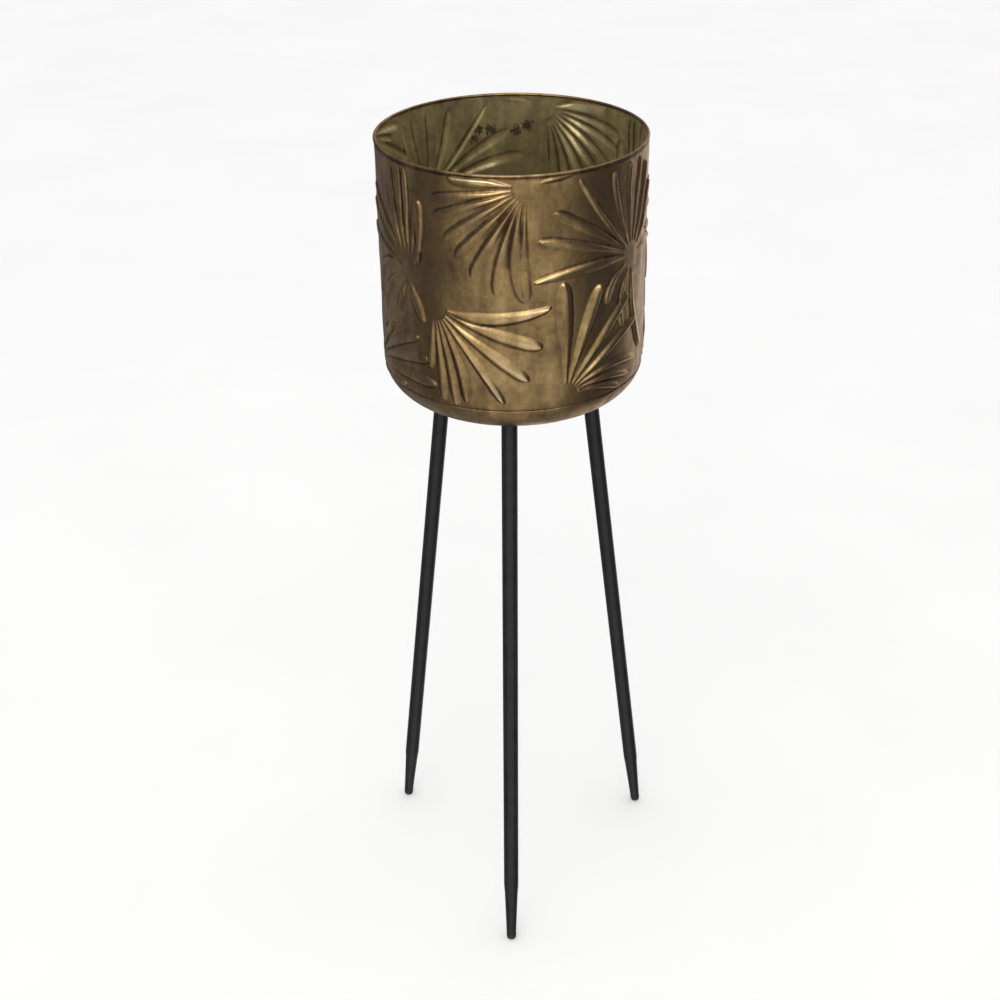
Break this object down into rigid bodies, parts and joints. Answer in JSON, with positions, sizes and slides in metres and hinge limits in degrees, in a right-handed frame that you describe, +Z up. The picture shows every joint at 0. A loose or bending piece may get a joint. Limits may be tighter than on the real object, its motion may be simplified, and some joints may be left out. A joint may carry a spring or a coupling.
{
  "type": "footed planter pot",
  "caption": "Tall round planter: an embossed brass pot with a rolled rim and a rounded base, on splayed tapered tube legs that unscrew.",
  "frame": {"origin": "on the floor, under the centre of the whole object's box; the pot's own axis is at x = 0, y = +18.5 mm", "axes": "+Z up; the front leg points to -Y; +X to the right seen from the front"},
  "size_m": [0.2934, 0.3, 0.874],
  "materials": {
    "pot_brass": "antiqued, raised parts rubbed bright",
    "leg_paint": "satin black powder coat",
    "zinc_steel": "zinc plated",
    "dark_zinc": "black zinc plated",
    "bare_steel": "drawn wire",
    "foot_plastic": "matte moulded"
  },
  "bodies": {
    "pot": {"pot_wall": "pot_brass", "rim_wire": "bare_steel", "bottom_pan": "pot_brass", "front_leg_seat": "leg_paint", "front_leg_stud": "zinc_steel", "right_leg_seat": "leg_paint", "right_leg_stud": "zinc_steel", "left_leg_seat": "leg_paint", "left_leg_stud": "zinc_steel"},
    "front_washer": {"front_leg_washer": "dark_zinc"},
    "front_leg": {"front_leg_insert": "zinc_steel", "front_leg_tube": "leg_paint", "front_foot_cap": "foot_plastic"},
    "right_washer": {"right_leg_washer": "dark_zinc"},
    "right_leg": {"right_leg_insert": "zinc_steel", "right_leg_tube": "leg_paint", "right_foot_cap": "foot_plastic"},
    "left_washer": {"left_leg_washer": "dark_zinc"},
    "left_leg": {"left_leg_insert": "zinc_steel", "left_leg_tube": "leg_paint", "left_foot_cap": "foot_plastic"}
  },
  "joints": [
    {"name": "front_leg_travel", "type": "slide", "parent": "pot", "child": "front_washer", "axis": [0, -0.1271, -0.9919], "range_m": [0, 0.01625]},
    {"name": "front_leg_screw", "type": "hinge", "parent": "front_washer", "child": "front_leg", "pos_m": [0, -0.06697, 0.611], "axis": [0, -0.1271, -0.9919], "range_deg": [0, 4680]},
    {"name": "right_leg_travel", "type": "slide", "parent": "pot", "child": "right_washer", "axis": [0.11, 0.0635, -0.9919], "range_m": [0, 0.01625]},
    {"name": "right_leg_screw", "type": "hinge", "parent": "right_washer", "child": "right_leg", "pos_m": [0.07405, 0.06128, 0.611], "axis": [0.11, 0.0635, -0.9919], "range_deg": [0, 4680]},
    {"name": "left_leg_travel", "type": "slide", "parent": "pot", "child": "left_washer", "axis": [-0.11, 0.0635, -0.9919], "range_m": [0, 0.01625]},
    {"name": "left_leg_screw", "type": "hinge", "parent": "left_washer", "child": "left_leg", "pos_m": [-0.07405, 0.06128, 0.611], "axis": [-0.11, 0.0635, -0.9919], "range_deg": [0, 4680]}
  ],
  "couplings": [
    {"joint": "front_leg_travel", "follows": "front_leg_screw", "m_per_rad": 0.00019894},
    {"joint": "right_leg_travel", "follows": "right_leg_screw", "m_per_rad": 0.00019894},
    {"joint": "left_leg_travel", "follows": "left_leg_screw", "m_per_rad": 0.00019894}
  ]
}
